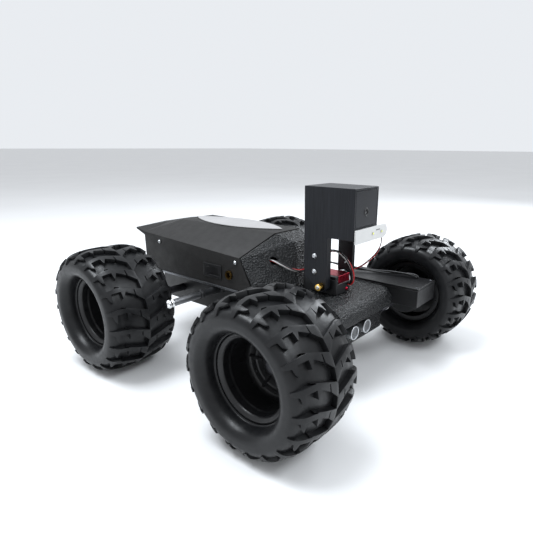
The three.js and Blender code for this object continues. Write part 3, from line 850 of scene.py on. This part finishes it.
def make_side_rod(name, side):
    """A painted root, a satin bar and a polished ball tip, in front of a rear wheel."""
    node = f"side_rod_{name}"
    low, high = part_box(node)
    length = high.x - low.x
    start = rod_start(low, high, side)
    out = (side, 0, 0)
    root = 37 * MM
    thick = (high.z - low.z) / 2
    thin, bar_start, bar_end = 4.2 * MM, root - 1 * MM, length - 8 * MM
    bar = [(0, bar_start), (thin, bar_start), (thin, bar_end), (0, bar_end)]
    bm = lathe(rounded(bar, 0.4 * MM, 3), 48, start, out)
    stand_in(piece(node + "_bar", bm, "steel", "chassis"), node)
    base = [
        (0, 0.1 * MM), (thick, 0.1 * MM), (thick, 5 * MM), (4.9 * MM, 6.5 * MM),
        (4.9 * MM, root - 6 * MM), (thick, root - 4.5 * MM), (thick, root), (0, root),
    ]
    bm = lathe(rounded(base, 0.5 * MM, 3), 40, start, out)
    seat = start + Vector((side * (root - 2.2 * MM), 0, thick - 0.1 * MM))
    socket_screw(1.4 * MM, 0.9 * MM, seat, (0, 0, 1), bm)
    piece(node + "_root", bm, "painted", "chassis")
    ball = [
        (0, length - 10.2 * MM), (4.9 * MM, length - 10.2 * MM), (5.2 * MM, length - 8.6 * MM),
        (4.1 * MM, length - 7.6 * MM), (5.2 * MM, length - 5.4 * MM), (5.1 * MM, length - 3.2 * MM),
        (3.4 * MM, length - 0.9 * MM), (0, length),
    ]
    bm = lathe(rounded(ball, 0.7 * MM, 4), 48, start, out)
    piece(node + "_ball", bm, "chrome", "chassis")


for corner, (side, end) in CORNERS.items():
    make_rim(corner, side)
    make_drive(corner, side)
    if end < 0:
        make_link(corner, side)
for name, side in (("right", -1), ("left", 1)):
    make_side_rod(name, side)


# ---------------------------------------------------------------- body

# Places in millimetres, as (y, z) or as y alone.
HOOD_SCREWS = ((147.4, 136.4), (2.6, 130.6))
TUB_SIDE_SCREWS = (-20, 40, 90, 150)
REAR_STUD = (-66.5, 118)  # As (x, z).

# The coating's waves, as (how many to a metre, share of the relief).
COATING_WAVES = ((420, 0.6), (980, 0.4))


def coated(node, voxel=0.9 * MM, relief=0.34 * MM):
    """A shell under a thick wrinkled coating: edges soften and the surface rises and falls."""
    bm = clean_copy(node)
    bevel_sharp(bm, 1.2 * MM, 3)
    made = stand_in(piece(node + "_coated", bm, "wrinkle", "chassis"), node)
    remesh = made.modifiers.new("even", "REMESH")
    remesh.mode = "VOXEL"
    remesh.voxel_size = voxel
    graph = bpy.context.evaluated_depsgraph_get()
    mesh = bpy.data.meshes.new_from_object(made.evaluated_get(graph))
    made.modifiers.clear()
    made.data = mesh
    normals = [v.normal.copy() for v in mesh.vertices]
    for vertex, normal in zip(mesh.vertices, normals):
        here = vertex.co
        rise = sum(noise.noise(here * scale) * share for scale, share in COATING_WAVES)
        vertex.co = here + normal * (rise * relief - relief * 0.5)
    mesh.shade_smooth()
    if not mesh.materials:
        mesh.materials.append(M["wrinkle"])
    return made


def make_hood():
    bm = clean_copy("hood")
    bevel_sharp(bm, 0.9 * MM, 3, math.radians(8))
    stand_in(piece("hood_shell", bm, "hood", "chassis"), "hood")
    # The panel's pale colour is partly painted highlight, standing in for a reflection of the overhead light
    # on the hood top.
    refined("hood_panel", "pale", 0.3 * MM, 3)


def make_body_screws():
    """Round headed screws through the hood's sides, near its ends, in shallow washers."""
    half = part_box("deck_plate")[1].x - 0.7 * MM
    ring = [(2.6 * MM, 0), (3.7 * MM, 0), (3.5 * MM, 0.5 * MM), (2.6 * MM, 0.6 * MM)]
    screws, washers = bmesh.new(), bmesh.new()
    for side in (-1, 1):
        for y, z in HOOD_SCREWS:
            seat = Vector((side * half, y * MM, z * MM))
            socket_screw(2.4 * MM, 1.5 * MM, seat, (side, 0, 0), screws)
            lathe(ring, 36, seat, (side, 0, 0), washers)
    piece("hood_screws", screws, "silver", "chassis")
    piece("hood_washers", washers, "plastic", "chassis")


def make_controls():
    refined("switch_frame", "plastic", 0.5 * MM)
    refined("switch_rocker", "plastic", 0.5 * MM, 3)
    refined("charge_socket", "socket_brass", 0.3 * MM)
    low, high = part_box("charge_socket")
    centre = (low + high) / 2
    pin = [(0, 0), (0.9 * MM, 0), (0.9 * MM, 7 * MM), (0, 7.6 * MM)]
    bm = lathe(rounded(pin, 0.2 * MM, 2), 20, (low.x + 10 * MM, centre.y, centre.z), (-1, 0, 0))
    piece("socket_pin", bm, "silver", "chassis")
    x, z = REAR_STUD
    place = (x * MM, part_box("hood")[1].y - 16 * MM + 0.1 * MM, z * MM)
    stud = [(0, -2 * MM), (2.6 * MM, -2 * MM), (2.6 * MM, 1 * MM), (0, 1 * MM)]
    piece("rear_stud", lathe(rounded(stud, 0.4 * MM, 3), 32, place, (0, 1, 0)), "brass", "chassis")


def make_tub():
    refined("chassis_tub", "painted", 0.8 * MM, 3)
    refined("deck_plate", "alloy", 0.3 * MM)
    low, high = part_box("chassis_tub")
    bm = bmesh.new()
    for x in (-1, 1):
        for y in (low.y + 40 * MM, 0, high.y - 80 * MM, high.y - 14 * MM):
            seat = Vector(((high.x - 9 * MM) * x, y, low.z))
            socket_screw(2.4 * MM, 1.4 * MM, seat, (0, 0, -1), bm)
    piece("tub_screws", bm, "dark_steel", "chassis")
    bm = bmesh.new()
    for x in (-1, 1):
        for y in TUB_SIDE_SCREWS:
            seat = Vector(((high.x - 0.05 * MM) * x, y * MM, high.z - 7 * MM))
            socket_screw(2.0 * MM, 1.3 * MM, seat, (x, 0, 0), bm)
    piece("tub_side_screws", bm, "dark_steel", "chassis")


coated("nose_cover")
coated("front_bulkhead")
make_hood()
make_body_screws()
make_controls()
make_tub()
painted("battery", "wrap")
for board in ("controller_board", "motor_driver", "camera_board", "sonar_board"):
    painted(board, "board")


# ---------------------------------------------------------------- sonar, side box

def make_sonar():
    for name in ("right", "left"):
        node = f"sonar_eye_{name}"
        low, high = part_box(node)
        centre = (low + high) / 2
        radius = (high.x - low.x) / 2
        front = Vector((centre.x, low.y, centre.z))
        depth = high.y - low.y
        can = [
            (radius - 1.15 * MM, 1.3 * MM), (radius - 1.15 * MM, 0.15 * MM), (radius - 0.7 * MM, 0),
            (radius - 0.2 * MM, 0.1 * MM), (radius, 0.7 * MM), (radius - 0.15 * MM, 1.6 * MM),
            (radius - 0.15 * MM, depth), (radius - 1.15 * MM, depth),
        ]
        bm = lathe(rounded(can, 0.25 * MM, 3), 56, front, (0, 1, 0))
        made = piece(f"sonar_can_{name}", bm, "silver", "chassis")
        stand_in(made, node)
        face = [
            (0, 1.0 * MM), (radius * 0.5, 1.15 * MM), (radius - 1.2 * MM, 1.5 * MM),
            (radius - 1.2 * MM, 2.2 * MM), (0, 2.2 * MM),
        ]
        piece(f"sonar_grille_{name}", lathe(face, 56, front, (0, 1, 0)), "grille", "chassis")


def make_side_box():
    refined("side_box", "plastic", 0.7 * MM, 3)
    refined("side_box_lid", "plastic", 0.6 * MM, 3)
    low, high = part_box("side_box_lid")
    inset = 4.2 * MM
    bm = bmesh.new()
    for x in (low.x + inset, high.x - inset):
        for y in (low.y + inset, high.y - inset):
            socket_screw(1.5 * MM, 0.9 * MM, (x, y, high.z), (0, 0, 1), bm)
    piece("side_box_screws", bm, "dark_steel", "chassis")


make_sonar()
make_side_box()


# ---------------------------------------------------------------- camera head

# Places in millimetres, as (y, z) or as x alone.
LEG_SCREWS = ((-78.3, 143), (-78.3, 125))
ARM_SCREWS = ((-84, 194), (-96, 194))
LAMPS = (10, 29)
RESISTORS = (17, 20, 23)


def make_head():
    refined("head_housing", "head", 1.3 * MM, 3)
    refined("head_front", "head", 0.35 * MM)
    refined("tilt_arm", "painted", 0.5 * MM)
    low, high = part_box("head_housing")
    bm = bmesh.new()
    for y, z in LEG_SCREWS:
        socket_screw(3.1 * MM, 1.3 * MM, (low.x, y * MM, z * MM), (-1, 0, 0), bm)
    piece("leg_screws", bm, "silver", "head")
    bm = bmesh.new()
    arm_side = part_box("tilt_arm")[1].x
    for y, z in ARM_SCREWS:
        socket_screw(1.9 * MM, 1.2 * MM, (arm_side, y * MM, z * MM), (1, 0, 0), bm)
    for z in (low.z + 96 * MM, high.z - 8 * MM):
        for x in (low.x + 8 * MM, high.x - 8 * MM):
            socket_screw(1.7 * MM, 1.0 * MM, (x, high.y, z), (0, 1, 0), bm)
    piece("head_screws", bm, "dark_steel", "head")


def make_lens():
    low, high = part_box("camera_lens")
    centre = (low + high) / 2
    front = Vector((centre.x, low.y, centre.z))
    ring = [
        (2.5 * MM, 0.5 * MM), (3.4 * MM, -0.2 * MM), (4.4 * MM, 0.0), (4.9 * MM, 0.5 * MM),
        (3.5 * MM, 0.55 * MM), (3.4 * MM, 9.6 * MM), (2.5 * MM, 9.6 * MM),
    ]
    made = piece("lens_barrel", lathe(rounded(ring, 0.2 * MM, 3), 56, front, (0, 1, 0)), "plastic", "head")
    stand_in(made, "camera_lens")
    glass = [(0, 0.5 * MM), (1.4 * MM, 0.75 * MM), (2.5 * MM, 1.5 * MM), (2.5 * MM, 3 * MM), (0, 3 * MM)]
    piece("lens_glass", lathe(glass, 48, front, (0, 1, 0)), "glass", "head")


def make_lamps():
    refined("light_board", "lamp_board", 0.25 * MM)
    low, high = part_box("light_board")
    front, level = low.y, (low.z + high.z) / 2
    dome = [(0, 0.95 * MM), (0.6 * MM, 0.9 * MM), (1.15 * MM, 0.8 * MM), (1.15 * MM, 0.5 * MM), (0, 0.5 * MM)]
    for i, x in enumerate(x * MM for x in LAMPS):
        near = (x - 1.7 * MM, front - 0.8 * MM, level - 1.5 * MM)
        far = (x + 1.7 * MM, front, level + 1.5 * MM)
        piece(f"lamp_case_{i}", block(near, far), "white_wire", "head")
        piece(f"lamp_phosphor_{i}", lathe(dome, 32, (x, front, level), (0, -1, 0)), "phosphor", "head")
    bm = bmesh.new()
    for x in RESISTORS:
        near = (x * MM, front - 0.45 * MM, level + 2.6 * MM)
        far = ((x + 1.7) * MM, front, level + 3.5 * MM)
        block(near, far, 0.1 * MM, bm)
    piece("lamp_resistors", bm, "plastic", "head")


def make_servo():
    refined("servo_case", "anodised", 0.6 * MM, 3)
    refined("servo_cap", "plastic", 0.5 * MM, 3)
    refined("servo_frame", "painted", 0.4 * MM)
    refined("pivot_bush", "brass", 0.5 * MM, 3)
    low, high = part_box("pivot_bush")
    centre = (low + high) / 2
    bm = socket_screw(2.5 * MM, 1.2 * MM, (low.x, centre.y, centre.z), (-1, 0, 0))
    piece("pivot_screw", bm, "silver", "chassis")
    low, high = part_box("servo_case")
    bm = bmesh.new()
    for y in (low.y + 3 * MM, high.y - 3 * MM):
        for z in (low.z + 3 * MM, high.z - 3 * MM):
            socket_screw(1.3 * MM, 0.8 * MM, (high.x - 3.9 * MM, y, z), (1, 0, 0), bm)
    piece("servo_screws", bm, "steel", "chassis")
    bm = socket_screw(2.3 * MM, 1.5 * MM, (4 * MM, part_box("servo_frame")[0].y, 103 * MM), (0, -1, 0))
    piece("servo_clamp_screw", bm, "anodised", "chassis")
    make_horn()


def make_horn():
    """A round aluminium horn with a raised boss."""
    low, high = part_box("servo_horn")
    centre = (low + high) / 2
    radius = (high.z - low.z) / 2
    depth = high.x - low.x
    disc = [
        (0, 0), (radius - 0.4 * MM, 0), (radius, 0.5 * MM), (radius, 1.8 * MM), (radius - 0.6 * MM, 2.2 * MM),
        (4.6 * MM, 2.2 * MM), (4.2 * MM, depth), (0, depth),
    ]
    bm = lathe(rounded(disc, 0.25 * MM, 3), 56, (low.x, centre.y, centre.z), (1, 0, 0))
    stand_in(piece("servo_horn_turned", bm, "silver", "head"), "servo_horn")


make_head()
make_lens()
make_lamps()
make_servo()


# ---------------------------------------------------------------- floor, light

WORLD_LIGHT = 0.88
COOL = (0.9, 0.95, 1)
LIT_POINT = (0, 0, 0.1)
FLOOR_HALF = 30


def area_light(name, place, size, energy):
    """A cool rectangular light that looks at the rover."""
    data = bpy.data.lights.new(name, "AREA")
    data.shape = "RECTANGLE"
    data.size, data.size_y = size
    data.energy = energy
    data.color = COOL
    light = bpy.data.objects.new(name, data)
    bpy.context.scene.collection.objects.link(light)
    light.location = place
    light.rotation_mode = "QUATERNION"
    light.rotation_quaternion = (Vector(LIT_POINT) - Vector(place)).to_track_quat("-Z", "Y")


def make_floor():
    bm = bmesh.new()
    bmesh.ops.create_grid(bm, x_segments=1, y_segments=1, size=FLOOR_HALF)
    mesh = bpy.data.meshes.new("floor")
    bm.to_mesh(mesh)
    bm.free()
    floor = bpy.data.objects.new("floor", mesh)
    bpy.context.scene.collection.objects.link(floor)
    floor.location.z = GROUND - 0.2 * MM
    made = Material("floor", (0.74, 0.74, 0.74), 0.9, specular=0.1)
    made.tint(made.noise(3, 2), (0.72, 0.72, 0.72))
    mesh.materials.append(made.made)


def make_world():
    world = bpy.data.worlds.new("studio")
    bpy.context.scene.world = world
    world.use_nodes = True
    sockets = world.node_tree.nodes["Background"].inputs
    sockets["Color"].default_value = (0.93, 0.96, 1, 1)
    sockets["Strength"].default_value = WORLD_LIGHT


make_floor()
make_world()
area_light("overhead", (-0.45, 0.35, 1.5), (0.75, 0.75), 28)
area_light("far_side", (1.5, -0.15, 1.0), (0.5, 0.9), 15)
area_light("front", (0.25, -1.3, 1.5), (0.7, 0.5), 14)
bpy.context.scene.view_settings.view_transform = "Standard"
